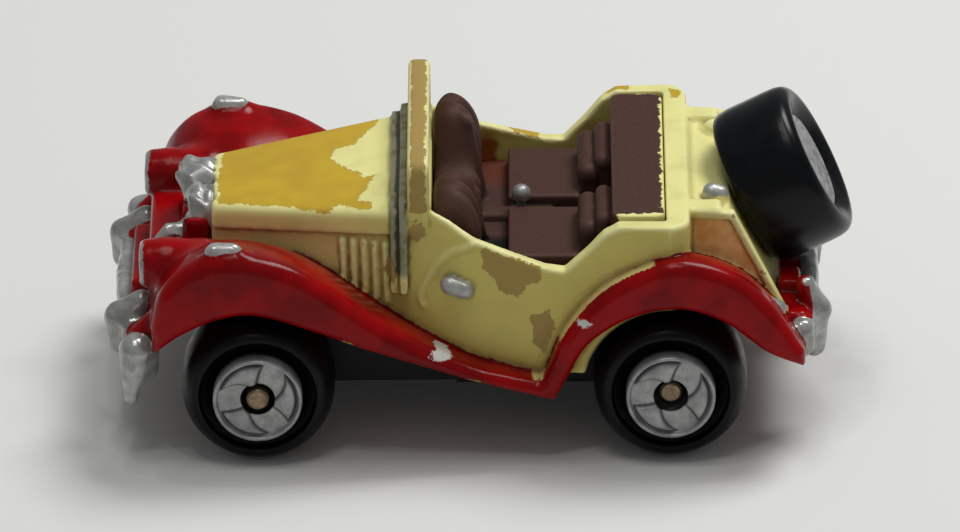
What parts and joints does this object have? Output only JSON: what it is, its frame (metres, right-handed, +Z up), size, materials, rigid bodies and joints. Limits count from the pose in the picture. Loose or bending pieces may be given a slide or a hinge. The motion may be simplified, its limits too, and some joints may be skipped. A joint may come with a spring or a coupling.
{
  "type": "pull back toy car",
  "caption": "Small open two-seat roadster toy with swept wings, free-rolling front wheels, a spring motor geared to the rear axle and a leaning spare wheel.",
  "frame": {"origin": "on the ground under the middle of the car's outer box", "axes": "+X is the car's nose, +Y its left side, +Z up"},
  "size_m": [0.0502, 0.026, 0.0214],
  "materials": {
    "body_plastic": "cream and red gloss paint, worn through to ochre plastic",
    "brown_plastic": "matte moulded",
    "black_plastic": "fine satin",
    "silver": "silver painted",
    "steel": "drawn wire",
    "spring_steel": "blued strip",
    "motor_plastic": "moulded",
    "gear_plastic": "natural nylon",
    "tyre": "smooth satin rubber"
  },
  "bodies": {
    "car": {"body_shell": "body_plastic", "interior_tub": "brown_plastic", "gear_lever": "silver", "base_plate": "black_plastic", "base_screw": "steel", "spare_tyre": "tyre", "spare_hub": "silver", "motor_case": "motor_plastic", "motor_cover": "motor_plastic", "reduction_pin": "steel", "spring_pin": "steel", "mainspring": "spring_steel"},
    "front_wheels": {"front_axle": "steel", "front_left_tyre": "tyre", "front_left_hub": "silver", "front_right_tyre": "tyre", "front_right_hub": "silver"},
    "rear_wheels": {"rear_axle": "steel", "rear_left_tyre": "tyre", "rear_left_hub": "silver", "rear_right_tyre": "tyre", "rear_right_hub": "silver", "axle_gear": "gear_plastic"},
    "reduction": {"reduction_gear": "gear_plastic"},
    "spring_drum": {"spring_gear": "gear_plastic"}
  },
  "joints": [
    {"name": "front_axle_spin", "type": "hinge", "parent": "car", "child": "front_wheels", "pos_m": [0.0149, 0, 0.00515], "axis": [0, 1, 0], "continuous": true},
    {"name": "rear_axle_spin", "type": "hinge", "parent": "car", "child": "rear_wheels", "pos_m": [-0.0127, 0, 0.00515], "axis": [0, 1, 0], "continuous": true},
    {"name": "reduction_spin", "type": "hinge", "parent": "car", "child": "reduction", "pos_m": [-0.00813, 0, 0.00663], "axis": [0, 1, 0], "continuous": true},
    {"name": "spring_drum_spin", "type": "hinge", "parent": "car", "child": "spring_drum", "pos_m": [-0.00293, 0, 0.00663], "axis": [0, 1, 0], "continuous": true}
  ],
  "couplings": [
    {"joint": "reduction_spin", "follows": "rear_axle_spin", "ratio": -0.5},
    {"joint": "spring_drum_spin", "follows": "rear_axle_spin", "ratio": 0.22222}
  ]
}
